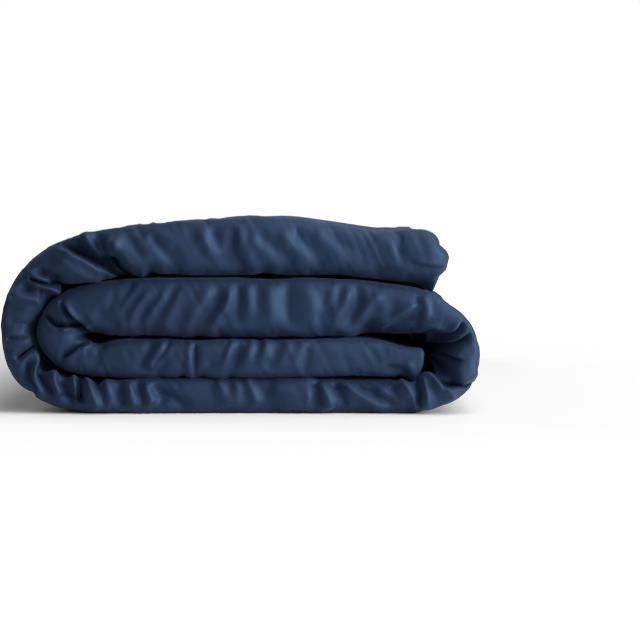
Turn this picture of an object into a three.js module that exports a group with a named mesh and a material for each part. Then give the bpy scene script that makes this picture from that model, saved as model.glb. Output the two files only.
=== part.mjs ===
// A single duvet in its sateen cover. It is folded in half along its length, so that the long fold is in
// front and the two seamed edges are at the back, and then rolled up flat into four layers.
// Millimetres: +X to the right, +Y to the back, +Z up. The origin is under the middle of the roll, on the
// surface that it lies on.
import * as THREE from "three";

// Driving dimensions
const FOLDED_DEPTH = 690; // from the long fold to the seamed edges
const LEAF_GAP = 3; // between the two leaves of the folded duvet
const SEAM_THICKNESS = 3; // where the cover's two panels are sewn together
const BACK_TAPER = 70; // a leaf thins out over this distance from its seamed long edge
const OUTER_END_TAPER = 30; // and over these at its two sewn ends
const INNER_END_TAPER = 16;
const FOLD_BULGE = 4; // the long fold stands this far in front of a plain half round
const BACK_STAGGER = 14; // the upper leaf's back edge stops this far short of the lower one's
const TURN_WEIGHT = 20; // half of a layer, which a turn adds to the length of the outer face

// How finely the form is divided
const STRAIGHT_STEP = 12;
const TURN_STEP_DEG = 9;
const END_STEPS = [0, 2, 6, 13, 22, 34]; // distances from a sewn end
const BACK_STEPS = [0, 7, 30, 300]; // distances from a seamed long edge
const FOLD_STEPS = 8; // round the outside of the long fold
const INNER_FOLD_STEPS = 2; // and round its inside
const CHART_STEP = 2; // between the sections that a crease's ends are looked up on

// The band, seen from the front, from its outer end to its inner end. A row is one section through both
// leaves: the middle of the section, the direction in which its outer face looks, in degrees from +Z
// towards -X, and its loft, from the outer face to the inner one.
const BAND = [
  // top layer, from its loose end on the right
  { x: 216, z: 156, lean: -25, loft: 61 },
  { x: 189, z: 162, lean: -4, loft: 58 },
  { x: 155, z: 164, lean: 0, loft: 52 },
  { x: 105, z: 170, lean: 0, loft: 55 },
  { x: 38, z: 174, lean: 0, loft: 60 },
  { x: -29, z: 173, lean: 0, loft: 58 },
  { x: -94, z: 170, lean: 3, loft: 54 },
  { x: -136, z: 166, lean: 8, loft: 51 },
  // wide turn on the left
  { x: -165, z: 162, lean: 16, loft: 46 },
  { x: -199, z: 148, lean: 37, loft: 40 },
  { x: -222, z: 122, lean: 62, loft: 35 },
  { x: -232, z: 87, lean: 90, loft: 31 },
  { x: -228, z: 56, lean: 117, loft: 31 },
  { x: -204, z: 31, lean: 148, loft: 31 },
  { x: -162, z: 19, lean: 173, loft: 34 },
  // bottom layer
  { x: -121, z: 18, lean: 180, loft: 36 },
  { x: -42, z: 18, lean: 180, loft: 36 },
  { x: 42, z: 18, lean: 180, loft: 36 },
  { x: 126, z: 18, lean: 180, loft: 36 },
  { x: 173, z: 18, lean: 181, loft: 36 },
  // turn on the right
  { x: 192, z: 20, lean: 188, loft: 34 },
  { x: 217, z: 27, lean: 210, loft: 32 },
  { x: 230, z: 38, lean: 236, loft: 31 },
  { x: 236, z: 61, lean: 270, loft: 30 },
  { x: 228, z: 85, lean: 300, loft: 31 },
  { x: 210, z: 98, lean: 324, loft: 37 },
  { x: 190, z: 104, lean: 338, loft: 48 },
  // second layer from the top
  { x: 168, z: 107, lean: 348, loft: 53 },
  { x: 126, z: 109, lean: 357, loft: 57 },
  { x: 63, z: 110, lean: 360, loft: 61 },
  { x: 0, z: 110, lean: 360, loft: 62 },
  { x: -63, z: 110, lean: 360, loft: 61 },
  { x: -115, z: 110, lean: 362, loft: 58 },
  // tight turn inside the wide one
  { x: -149, z: 108, lean: 373, loft: 53 },
  { x: -170, z: 103, lean: 394, loft: 49 },
  { x: -182, z: 94, lean: 421, loft: 47 },
  { x: -187, z: 80, lean: 448, loft: 46 },
  { x: -179, z: 67, lean: 478, loft: 40 },
  { x: -168, z: 60, lean: 505, loft: 37 },
  { x: -152, z: 58, lean: 528, loft: 37 },
  // third layer, to its end in the middle of the roll
  { x: -126, z: 57, lean: 538, loft: 38 },
  { x: -63, z: 57, lean: 540, loft: 38 },
  { x: 0, z: 57, lean: 540, loft: 38 },
  { x: 63, z: 57, lean: 540, loft: 37 },
  { x: 126, z: 58, lean: 540, loft: 38 },
  { x: 170, z: 57, lean: 540, loft: 38 },
  { x: 194, z: 57, lean: 530, loft: 39 },
];

// The main creases of the long fold, as they are seen from the front: each runs from one point to another,
// given as [x, z], and is a trough of this width on either side and this depth.
const CREASES = [
  // top layer
  { from: [-84, 185], to: [-63, 160], width: 12, depth: 5 },
  { from: [-20, 190], to: [-12, 166], width: 11, depth: 4 },
  { from: [0, 184], to: [7, 158], width: 11, depth: 4 },
  { from: [30, 182], to: [57, 164], width: 11, depth: 4 },
  { from: [82, 181], to: [99, 158], width: 11, depth: 3 },
  { from: [192, 161], to: [212, 145], width: 9, depth: 6 },
  // wide turn
  { from: [-187, 178], to: [-111, 144], width: 8, depth: 8 },
  { from: [-216, 144], to: [-188, 134], width: 7, depth: 5 },
  { from: [-236, 55], to: [-217, 68], width: 7, depth: 5 },
  { from: [-206, 42], to: [-200, 19], width: 7, depth: 6 },
  { from: [-170, 38], to: [-164, 17], width: 8, depth: 6 },
  // bottom layer
  { from: [89, 28], to: [89, 8], width: 10, depth: 4 },
  { from: [111, 28], to: [111, 7], width: 10, depth: 3 },
  { from: [183, 27], to: [197, 10], width: 9, depth: 5 },
  // turn on the right
  { from: [248, 28], to: [216, 26], width: 8, depth: 7 },
  { from: [239, 83], to: [220, 78], width: 7, depth: 5 },
  { from: [232, 96], to: [216, 85], width: 8, depth: 7 },
  // second layer
  { from: [128, 122], to: [123, 99], width: 11, depth: 4 },
  { from: [51, 126], to: [51, 95], width: 12, depth: 3 },
  { from: [-18, 122], to: [-38, 87], width: 11, depth: 4 },
  { from: [-101, 130], to: [-109, 99], width: 11, depth: 3 },
  // tight turn
  { from: [-191, 115], to: [-174, 90], width: 8, depth: 7 },
  { from: [-206, 95], to: [-170, 90], width: 7, depth: 7 },
  { from: [-187, 58], to: [-164, 73], width: 7, depth: 6 },
  // third layer
  { from: [-103, 64], to: [-98, 45], width: 10, depth: 3 },
  { from: [-45, 73], to: [-45, 38], width: 8, depth: 4 },
  { from: [-4, 67], to: [-8, 41], width: 9, depth: 4 },
];

// The roll is a little uneven from front to back
const BACK_DROP = 0.05; // how much lower it is at the back than in front, as a share of its height
const SIDE_WANDER = 5; // how far its sides wander at the back
const SIDE_WANDER_IN_FRONT = 2;
const SIDE_WANDER_LENGTH = 620;
const FRONT_WANDER = 4; // how far the long fold wanders from a straight line
const FRONT_WANDER_LENGTH = 390;

const NAVY = new THREE.Color(0x2b3f5c);

// Distance along the band of each row, measured near its outer face.
function rowPlaces(rows) {
  const places = [0];
  for (let i = 1; i < rows.length; i++) {
    const [a, b] = [rows[i - 1], rows[i]];
    const turn = THREE.MathUtils.degToRad(Math.abs(b.lean - a.lean));
    places.push(places[i - 1] + Math.hypot(b.x - a.x, b.z - a.z) + TURN_WEIGHT * turn);
  }
  return places;
}

// A smooth curve through the rows, asked for the section at a distance along the band.
function bandCurve(rows, places) {
  const values = rows.flatMap((row) => [row.x, row.z, row.lean, row.loft]);
  const curve = new THREE.CubicInterpolant(places, values, 4);
  return (place) => {
    const [x, z, lean, loft] = curve.evaluate(place);
    return { place, x, z, lean, loft };
  };
}

// Distances at which the band is divided: closer together in the turns and near the sewn ends.
function dividedPlaces(rows, places) {
  const length = places.at(-1);
  const endZone = END_STEPS.at(-1) + STRAIGHT_STEP / 3;
  const found = END_STEPS.flatMap((step) => [step, length - step]);
  for (let i = 1; i < rows.length; i++) {
    const span = places[i] - places[i - 1];
    const turn = Math.abs(rows[i].lean - rows[i - 1].lean);
    const count = Math.ceil(Math.max(span / STRAIGHT_STEP, turn / TURN_STEP_DEG));
    for (let k = 0; k < count; k++) {
      const place = places[i - 1] + (span * k) / count;
      if (place > endZone && place < length - endZone) found.push(place);
    }
  }
  return found.sort((a, b) => a - b);
}

// How much of its full thickness a filled edge has at a distance from its seam.
function filledShare(distance, taper) {
  const left = Math.max(0, 1 - distance / taper);
  return Math.sqrt(1 - left * left);
}

function endShare(place, length) {
  return filledShare(place, OUTER_END_TAPER) * filledShare(length - place, INNER_END_TAPER);
}

// Where a point seen from the front lies on the band: its distance along it, and its height above the
// middle of the section there, towards the outer face.
function placeOnBand([x, z], stations) {
  const choices = stations.map((station) => {
    const lean = THREE.MathUtils.degToRad(station.lean);
    const [right, up] = [x - station.x, z - station.z];
    const height = up * Math.cos(lean) - right * Math.sin(lean);
    const beside = Math.abs(right * Math.cos(lean) + up * Math.sin(lean));
    return { place: station.place, height, beside, inside: Math.abs(height) < station.loft / 2 + LEAF_GAP };
  });
  const nearest = choices.filter((choice) => choice.inside).sort((a, b) => a.beside - b.beside)[0];
  return new THREE.Vector3(nearest.place, nearest.height, 0);
}

// The creases, charted on the band laid out flat.
function creasesOnBand(stationAt, length) {
  const count = Math.ceil(length / CHART_STEP);
  const stations = Array.from({ length: count + 1 }, (_, k) => stationAt((length * k) / count));
  return CREASES.map(({ from, to, width, depth }) => {
    const line = new THREE.Line3(placeOnBand(from, stations), placeOnBand(to, stations));
    return { line, width, depth };
  });
}

function creaseDepth(creases, place, height) {
  const point = new THREE.Vector3(place, height, 0);
  const nearest = new THREE.Vector3();
  return creases.reduce((sum, { line, width, depth }) => {
    const away = line.closestPointToPoint(point, true, nearest).distanceTo(point) / width;
    return sum + depth * Math.exp(-away * away);
  }, 0);
}

// Angles round the long fold, from the outer face to the inner one.
function foldAngles(steps) {
  return Array.from({ length: steps + 1 }, (_, k) => Math.PI / 2 - (Math.PI * k) / steps);
}

// The section at one place, as one closed outline of [y, height] points: along the outside from the outer
// leaf's back edge, round the long fold, to the inner leaf's back edge, and back along the inside.
function sectionOutline(station, length, creases) {
  const full = (station.loft - LEAF_GAP) / 2;
  const atEnd = endShare(station.place, length);
  const endThickness = SEAM_THICKNESS + (full - SEAM_THICKNESS) * atEnd;
  // Towards an end each leaf thins down onto what lies below it.
  const down = -Math.sign(Math.cos(THREE.MathUtils.degToRad(station.lean)));
  const leafMiddle = (leaf) => (leaf * (LEAF_GAP + full)) / 2 + (down * (full - endThickness)) / 2;
  const foldMiddle = (leafMiddle(1) + leafMiddle(-1)) / 2;
  const foldRadius = (leafMiddle(1) - leafMiddle(-1)) / 2;
  const wander = FRONT_WANDER * Math.sin((2 * Math.PI * station.place) / FRONT_WANDER_LENGTH);
  const foldStart = -FOLDED_DEPTH / 2 + wander + FOLD_BULGE + LEAF_GAP / 2 + full;

  // The outer leaf and the outside skin are 1, the inner leaf and the inside skin are -1.
  const leafPoint = (leaf, skin, step) => {
    const back = FOLDED_DEPTH / 2 - (leaf > 0 ? BACK_STAGGER : 0) - step;
    const thickness = SEAM_THICKNESS + (endThickness - SEAM_THICKNESS) * filledShare(step, BACK_TAPER);
    return [back, leafMiddle(leaf) + (leaf * skin * thickness) / 2];
  };
  const foldPoint = (skin, angle) => {
    const [cos, sin] = [Math.cos(angle), Math.sin(angle)];
    let radius = foldRadius + (skin * endThickness) / 2;
    if (skin > 0) {
      const crease = creaseDepth(creases, station.place, foldMiddle + radius * sin);
      radius += (FOLD_BULGE * cos - crease * Math.sqrt(cos)) * atEnd;
    }
    return [foldStart - radius * cos, foldMiddle + radius * sin];
  };
  const skinPoints = (skin, steps) => [
    ...BACK_STEPS.map((step) => leafPoint(1, skin, step)),
    ...foldAngles(steps).map((angle) => foldPoint(skin, angle)),
    ...BACK_STEPS.toReversed().map((step) => leafPoint(-1, skin, step)),
  ];
  return [...skinPoints(1, FOLD_STEPS), ...skinPoints(-1, INNER_FOLD_STEPS).toReversed()];
}

// The unevenness of the whole roll. It bends space, so layers that are apart stay apart.
function settle(point) {
  const back = (point.y + FOLDED_DEPTH / 2) / FOLDED_DEPTH;
  const reach = THREE.MathUtils.lerp(SIDE_WANDER_IN_FRONT, SIDE_WANDER, back);
  point.x += reach * Math.sin((2 * Math.PI * point.y) / SIDE_WANDER_LENGTH);
  point.z = Math.max(0, point.z * (1 - BACK_DROP * back * back));
  return point;
}

// The outline of a section, in the roll's own space.
function ringOf(outline, station) {
  const lean = THREE.MathUtils.degToRad(station.lean);
  return outline.map(([y, height]) =>
    settle(new THREE.Vector3(station.x - height * Math.sin(lean), y, station.z + height * Math.cos(lean))),
  );
}

// Triangles that close a ring between its outside and its inside, along the seam of a sewn end.
function seamCap(ring) {
  const outsideCount = 2 * BACK_STEPS.length + FOLD_STEPS + 1;
  const lastOutside = outsideCount - 1;
  const span = (a, b) => (a < outsideCount && b >= outsideCount ? ring[a].distanceTo(ring[b]) : Infinity);
  const triangles = [];
  let [outside, inside] = [0, ring.length - 1];
  while (outside < lastOutside || inside > outsideCount) {
    if (span(outside + 1, inside) < span(outside, inside - 1)) {
      triangles.push([outside, outside + 1, inside]);
      outside += 1;
    } else {
      triangles.push([outside, inside - 1, inside]);
      inside -= 1;
    }
  }
  return triangles;
}

// A closed skin over rings with the same number of points.
function skinOver(rings) {
  const around = rings[0].length;
  const last = (rings.length - 1) * around;
  const corners = [];
  for (let j = 0; j + 1 < rings.length; j++) {
    for (let i = 0; i < around; i++) {
      const [here, beside] = [j * around + i, j * around + ((i + 1) % around)];
      corners.push(here, beside + around, beside, here, here + around, beside + around);
    }
  }
  seamCap(rings[0]).forEach(([a, b, c]) => corners.push(a, b, c));
  seamCap(rings.at(-1)).forEach(([a, b, c]) => corners.push(last + a, last + c, last + b));
  const geometry = new THREE.BufferGeometry().setFromPoints(rings.flat());
  geometry.setIndex(corners);
  return geometry;
}

function duvetGeometry() {
  const places = rowPlaces(BAND);
  const length = places.at(-1);
  const stationAt = bandCurve(BAND, places);
  const creases = creasesOnBand(stationAt, length);
  const stations = dividedPlaces(BAND, places).map(stationAt);
  const rings = stations.map((station) => ringOf(sectionOutline(station, length, creases), station));
  const geometry = skinOver(rings);
  geometry.computeBoundingBox();
  const middle = geometry.boundingBox.getCenter(new THREE.Vector3());
  geometry.translate(-middle.x, -middle.y, 0);
  geometry.computeVertexNormals();
  return geometry;
}

const duvet = new THREE.Mesh(
  duvetGeometry(),
  new THREE.MeshStandardMaterial({ color: NAVY, roughness: 0.5, metalness: 0 }),
);
duvet.name = "duvet";

const foldedDuvet = new THREE.Group();
foldedDuvet.add(duvet);

export default foldedDuvet;
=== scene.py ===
# %% [markdown]
# A filled duvet in a navy sateen cover, folded in half lengthways and then rolled up flat. The part's
# solid is already in its place, so this script loads it first. Everything is built in the same frame,
# with the long fold in front (-Y) and the roll lying on z = 0. Sizes are in millimetres until the mesh
# is made.

# %% Load the frame
import math

import bmesh
import bpy
import numpy as np
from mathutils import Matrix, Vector, noise


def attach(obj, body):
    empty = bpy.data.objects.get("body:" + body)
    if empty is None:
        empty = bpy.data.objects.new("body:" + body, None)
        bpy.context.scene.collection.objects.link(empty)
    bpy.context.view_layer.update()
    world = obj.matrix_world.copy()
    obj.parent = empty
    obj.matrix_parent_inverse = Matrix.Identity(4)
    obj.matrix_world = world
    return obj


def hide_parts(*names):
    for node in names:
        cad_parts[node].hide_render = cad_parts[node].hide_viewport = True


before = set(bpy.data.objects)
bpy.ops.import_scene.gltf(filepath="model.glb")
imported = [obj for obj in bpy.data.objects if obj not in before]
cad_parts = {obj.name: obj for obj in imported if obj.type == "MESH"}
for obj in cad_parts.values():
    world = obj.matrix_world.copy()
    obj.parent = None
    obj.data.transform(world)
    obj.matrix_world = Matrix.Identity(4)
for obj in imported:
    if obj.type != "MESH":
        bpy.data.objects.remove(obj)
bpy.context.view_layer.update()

# %% [markdown]
# Seen from the front the duvet is one long band. It comes in from its loose end on the upper right, goes
# round a wide turn on the left, back along the bottom, round a turn on the right, and winds inwards once
# more. A flat sheet could be bent into this by modifiers, but then nothing promises that the layers stay
# apart. A table of sections does: each row gives the middle of a section, the way its outer face looks,
# and its loft.

# %% Sections of the band
# x, z, lean in degrees from +Z towards -X, loft
BAND = {
    "top": [
        (216, 156, -25, 61), (189, 162, -4, 58), (155, 164, 0, 52), (105, 170, 0, 55),
        (38, 174, 0, 60), (-29, 173, 0, 58), (-94, 170, 3, 54), (-136, 166, 8, 51),
    ],
    "wide turn": [
        (-165, 162, 16, 46), (-199, 148, 37, 40), (-222, 122, 62, 35), (-232, 87, 90, 31),
        (-228, 56, 117, 31), (-204, 31, 148, 31), (-162, 19, 173, 34),
    ],
    "bottom": [
        (-121, 18, 180, 36), (-42, 18, 180, 36), (42, 18, 180, 36), (126, 18, 180, 36), (173, 18, 181, 36),
    ],
    "right turn": [
        (192, 20, 188, 34), (217, 27, 210, 32), (230, 38, 236, 31), (236, 61, 270, 30),
        (228, 85, 300, 31), (210, 98, 324, 37), (190, 104, 338, 48),
    ],
    "second": [
        (168, 107, 348, 53), (126, 109, 357, 57), (63, 110, 360, 61), (0, 110, 360, 62),
        (-63, 110, 360, 61), (-115, 110, 362, 58),
    ],
    "tight turn": [
        (-149, 108, 373, 53), (-170, 103, 394, 49), (-182, 94, 421, 47), (-187, 80, 448, 46),
        (-179, 67, 478, 40), (-168, 60, 505, 37), (-152, 58, 528, 37),
    ],
    "third": [
        (-126, 57, 538, 38), (-63, 57, 540, 38), (0, 57, 540, 38), (63, 57, 540, 37),
        (126, 58, 540, 38), (170, 57, 540, 38), (194, 57, 530, 39),
    ],
}
rows = np.array([row for run in BAND.values() for row in run], float)
print(f"{len(rows)} sections in {len(BAND)} stretches")

# %% [markdown]
# The sections in between come from a smooth curve. A curve object would do for the middle line, but the
# lean and the loft have to change smoothly as well, so one cubic runs through all four values of the
# rows. Places along the band are distances on the outer face, which is longer than the middle round a
# turn.

# %% A curve through the sections
TURN_WEIGHT = 20  # what a turn of one radian adds to the distance
steps = np.hypot(*np.diff(rows[:, :2], axis=0).T) + TURN_WEIGHT * np.radians(np.abs(np.diff(rows[:, 2])))
row_places = np.concatenate([[0], np.cumsum(steps)])
band_length = row_places[-1]


def band_at(places):
    """The rows' values at places along the band, by a cubic through each four neighbouring rows."""
    at = np.concatenate([row_places[1:2], row_places, row_places[-2:-1]])
    value = np.concatenate([rows[1:2], rows, rows[-2:-1]])
    k = np.clip(np.searchsorted(row_places, places, side="right"), 1, len(rows) - 1)
    start, end = at[k], at[k + 1]
    p = ((places - start) / (end - start))[:, None]
    before = (0.5 * (end - start) / (start - at[k - 1]))[:, None]
    after = (0.5 * (end - start) / (at[k + 2] - end))[:, None]
    weight_before = before * (-p**3 + 2 * p**2 - p)
    weight_start = (1 + before) * p**3 + (-1.5 - 2 * before) * p**2 + (before - 0.5) * p + 1
    weight_end = (-1 - after) * p**3 + (1.5 + after) * p**2 + 0.5 * p
    weight_after = after * (p**3 - p**2)
    found = weight_before * value[k - 1] + weight_start * value[k]
    return found + weight_end * value[k + 1] + weight_after * value[k + 2]


run_span = {}
first_row = 0
for run, run_rows in BAND.items():
    run_span[run] = (row_places[first_row], row_places[first_row + len(run_rows) - 1])
    first_row += len(run_rows)
print(f"the band is {band_length:.0f} mm long on its outer face")

# %% [markdown]
# The cloth that shows is the long fold in front, so the mesh is fine there, finest round the turns, and
# coarser along the two leaves that run to the back. A subdivision surface would be equally fine
# everywhere. Choosing the sections by their places spends the points where the creases are.

# %% Places of the mesh along the band
RUN_STEP = 1.65  # between sections along a straight run
TURN_STEP = 1.25  # and round a turn, where the creases are sharp
TURN_BLEND = 20  # the one step goes over into the other in this distance
COARSE = 7  # one coarse section for each seven fine ones
SPOTS = 5001  # where the step is worked out


def smooth(t):
    """From 0 to 1 in a soft S."""
    t = np.clip(t, 0, 1)
    return t * t * (3 - 2 * t)


def within(places, start, end, blend):
    """One between start and end, with soft ends inside them."""
    return smooth((places - start) / blend) * smooth((end - places) / blend)


spots = np.linspace(0, band_length, SPOTS)
in_turn = np.zeros(SPOTS)
for run, (start, end) in run_span.items():
    if run.endswith("turn"):
        in_turn = np.maximum(in_turn, within(spots, start - TURN_BLEND, end + TURN_BLEND, TURN_BLEND))
step_at = RUN_STEP + (TURN_STEP - RUN_STEP) * in_turn
steps_before = np.concatenate([[0], np.cumsum(np.diff(spots) / step_at[1:])])
# An even number, so that every second fine section can be left out later.
coarse_count = 2 * round(steps_before[-1] / COARSE / 2)
counted = np.linspace(0, steps_before[-1], coarse_count * COARSE + 1)
fine_places = np.interp(counted, steps_before, spots)
coarse = slice(0, None, COARSE)
mid_x, mid_z, lean_deg, loft = band_at(fine_places).T
lean = np.radians(lean_deg)
print(f"{len(fine_places)} fine sections and {coarse_count + 1} coarse ones")

# %% [markdown]
# A section is the duvet folded in two: an outer leaf, the fold at the front, and an inner leaf, with a
# narrow space between them. Towards a sewn end the filling runs out, until only the two panels and their
# seam are left. A bevel could round such an end, but the quarter of an ellipse used here also keeps it
# full and soft.

# %% The two leaves of a section
FOLDED_DEPTH = 690  # from the long fold to the seamed edges
LEAF_GAP = 3  # between the two leaves of the folded duvet
SEAM_THICKNESS = 2.6  # two panels and their seam
OUTER_END_TAPER = 30  # the filling runs out over this distance from the loose end
INNER_END_TAPER = 6  # and from the inner end, which is blunt
FOLD_BULGE = 4  # the fold stands out a little more than a half circle
FRONT_WANDER, FRONT_WAVE = 4, 390  # the front isn't quite straight along the band


def filled_share(distance, taper):
    """How full the duvet is at a distance from a sewn edge."""
    left = np.clip(1 - distance / taper, 0, 1)
    return np.sqrt(1 - left**2)


full = (loft - LEAF_GAP) / 2
end_share = filled_share(fine_places, OUTER_END_TAPER)
end_share *= filled_share(band_length - fine_places, INNER_END_TAPER)
end_thickness = SEAM_THICKNESS + (full - SEAM_THICKNESS) * end_share
down = -np.sign(np.cos(lean))
outer_middle = (LEAF_GAP + full) / 2 + down * (full - end_thickness) / 2
inner_middle = -(LEAF_GAP + full) / 2 + down * (full - end_thickness) / 2
fold_middle = (outer_middle + inner_middle) / 2
fold_radius = (outer_middle - inner_middle) / 2
outside_radius = fold_radius + end_thickness / 2
front_wander = FRONT_WANDER * np.sin(2 * np.pi * fine_places / FRONT_WAVE)
fold_start = -FOLDED_DEPTH / 2 + front_wander + FOLD_BULGE + LEAF_GAP / 2 + full
print(f"a leaf is {full.min():.0f} to {full.max():.0f} mm thick")

# %% [markdown]
# Rows of points go round the front of a section: some flat rows on the outer leaf, an arc of rows round
# the fold, and flat rows on the inner leaf. Together the rows of all sections are the strip, the part of
# the cloth that gets the fine creases. A row is known by its angle round the fold and by how far back it
# lies.

# %% Rows round the fold
FOLD_ROWS = 41  # in the arc round the fold
STRIP_DEPTH = 46  # how far the fine strip reaches back from the fold on each leaf
STRIP_ROWS = 6  # flat rows on each leaf
strip_back = STRIP_DEPTH * (np.arange(STRIP_ROWS, 0, -1) / STRIP_ROWS)
flat_rows = np.full(STRIP_ROWS, 90.0)
row_angle = np.radians(np.concatenate([flat_rows, np.linspace(90, -90, FOLD_ROWS), -flat_rows]))
row_back = np.concatenate([strip_back, np.zeros(FOLD_ROWS), strip_back[::-1]])
facing = np.cos(row_angle)[None, :]  # one at the very front
outward = np.sin(row_angle)[None, :]  # one on the outer leaf, minus one on the inner leaf
print(f"{len(row_angle)} rows in the strip")

# %% [markdown]
# Layers that lie on each other press together, so each face swells towards its neighbour until only a
# narrow gap is left. Blender's collisions could find that by pushing for many frames. Here the distance
# to the neighbour is measured straight out from each face, which is quick and always gives the same
# result.

# %% Distance to the next layer
SAME_LAYER = 60  # sections nearer than this along the band are the same layer
OVERLAP = 2  # layers may already touch by this much
PARALLEL = 1e-9  # for a face that runs along the line of sight


def clearance(side):
    """How far it is from each coarse section's outer (1) or inner (-1) face straight to the next layer."""
    normal = np.stack([-np.sin(lean), np.cos(lean)], 1)[coarse]
    centre = np.stack([mid_x, mid_z], 1)[coarse]
    half = (loft / 2)[coarse, None]
    places = fine_places[coarse]
    start = centre + side * half * normal
    ray = side * normal
    nearest = np.full(len(places), np.inf)
    for face in (1, -1):
        wall = centre + face * half * normal
        a, edge = wall[:-1], wall[1:] - wall[:-1]
        to_a = a[None] - start[:, None]
        cross = ray[:, None, 0] * edge[None, :, 1] - ray[:, None, 1] * edge[None, :, 0]
        cross = np.where(np.abs(cross) < PARALLEL, PARALLEL, cross)
        along = (to_a[..., 0] * edge[None, :, 1] - to_a[..., 1] * edge[None, :, 0]) / cross
        on_edge = (to_a[..., 0] * ray[:, None, 1] - to_a[..., 1] * ray[:, None, 0]) / cross
        far = np.abs(places[:, None] - places[None, :-1]) > SAME_LAYER
        hit = (along > -OVERLAP) & (on_edge >= 0) & (on_edge <= 1) & far
        nearest = np.minimum(nearest, np.where(hit, along, np.inf).min(1))
    return nearest


outer_gap, inner_gap = clearance(1), clearance(-1)
print(f"the next layer is {outer_gap.min():.1f} mm away at the nearest")

# %% [markdown]
# Half of each gap is taken up by each face. Wide spaces, such as the hollow inside the right turn, stay
# open. No real roll is equally tight all along, so slow noise loosens it a little here and there.
# Blender's own noise has no random state, so the result is the same every time.

# %% Faces that swell to meet
REST_GAP = 3.2  # between layers that lie against each other
WIDE_GAP = 13  # a wider space than this isn't filled
SMOOTHINGS = 6  # so that a face swells without steps
LOOSENESS = 2.2  # how much the gap varies along the band
LOOSE_LENGTH = 34  # of a loose place
LOOSE_SHARE = 0.15  # a larger share leaves less of the band tight
OUTER_LINE, INNER_LINE, LOOSE_SLICE = 11.3, 27.9, 0.5  # places in the noise


def soften(values):
    """Moves each value half way to the mean of its neighbours on the first axis."""
    values[1:-1] = 0.25 * values[:-2] + 0.5 * values[1:-1] + 0.25 * values[2:]


def closing(gap):
    """How far a face swells towards a neighbour at the given distances."""
    swell_by = np.clip((gap - REST_GAP) / 2, 0, WIDE_GAP / 2) * smooth((2 * WIDE_GAP - gap) / WIDE_GAP)
    for _ in range(SMOOTHINGS):
        soften(swell_by)
    return np.interp(fine_places, fine_places[coarse], swell_by) * end_share


def cloth_noise(u, v, along, across, offset):
    """Noise over the cloth with the given lengths of its features."""
    flat = zip((u / along).ravel(), (v / across).ravel())
    return np.array([noise.noise(Vector((a, b, offset))) for a, b in flat]).reshape(u.shape)


close_outer, close_inner = closing(outer_gap), closing(inner_gap)
for close, line in ((close_outer, OUTER_LINE), (close_inner, INNER_LINE)):
    loose = cloth_noise(fine_places, np.full(len(fine_places), line), LOOSE_LENGTH, 1, LOOSE_SLICE)
    close -= LOOSENESS * np.clip(loose + LOOSE_SHARE, 0, None) * end_share
print(f"faces swell by up to {close_outer.max():.1f} and {close_inner.max():.1f} mm to meet")

# %% [markdown]
# In some places the real roll is looser or fuller than that: the sewn ends are thin, nothing swells
# inside the tight turn, and dark openings show beside the turns. A short table lists them. Moving
# points by hand in the viewport would do the same, but a table can be read and changed.

# %% Looser and fuller places
LOOSE_END_THIN, LOOSE_END_THIN_LENGTH = 6, 34  # the loose end, on top
LOOSE_END_FULL, LOOSE_END_FULL_LENGTH = 3.5, 26  # and below, where it rests on the second layer
INNER_END_THIN, INNER_END_THIN_FROM, INNER_END_THIN_LENGTH = 12, 60, 58  # the inner end, below
TIGHT_MARGIN, TIGHT_BLEND = 12, 20  # round the tight turn
# x, z, length along the band, how much fuller
INNER_FULLER = [
    (-150, 58, 20, -6), (236, 61, 30, 4), (-212, 38, 30, -7), (-155, 19, 26, -5), (-232, 85, 24, -3.5),
    (-196, 150, 9, -5), (-114, 169, 17, -5.5), (-84, 171, 22, -2.5), (177, 18, 11, -8), (197, 21, 8, 3),
    (214, 26, 10, -7),
]
OUTER_FULLER = [(187, 57, 11, 8)]


def place_of(x, z):
    """The place along the band whose middle is nearest to (x, z)."""
    return fine_places[np.argmin(np.hypot(mid_x - x, mid_z - z))]


def bump(x, z, length):
    """One at the section nearest to (x, z), and nothing a few lengths away."""
    return np.exp(-(((fine_places - place_of(x, z)) / length) ** 2))


close_outer -= LOOSE_END_THIN * smooth(1 - fine_places / LOOSE_END_THIN_LENGTH)
close_inner += LOOSE_END_FULL * smooth(1 - fine_places / LOOSE_END_FULL_LENGTH)
into_inner_end = fine_places - band_length + INNER_END_THIN_FROM
close_inner -= INNER_END_THIN * smooth(into_inner_end / INNER_END_THIN_LENGTH)
tight_start, tight_end = run_span["tight turn"]
close_inner *= 1 - within(fine_places, tight_start - TIGHT_MARGIN, tight_end + TIGHT_MARGIN, TIGHT_BLEND)
for close, table in ((close_inner, INNER_FULLER), (close_outer, OUTER_FULLER)):
    for x, z, length, fuller in table:
        close += fuller * bump(x, z, length)
print(f"with {len(INNER_FULLER) + len(OUTER_FULLER)} looser or fuller places in the table")

# %% [markdown]
# The front of a layer isn't a half circle. It is flatter, as a rolled duvet is that was patted straight,
# and its lower half is rounder where it hangs over the layer below. A superellipse does that with one
# number: 2 is round, and more is squarer. The numbers are given at some sections and run on evenly in
# between.

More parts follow.
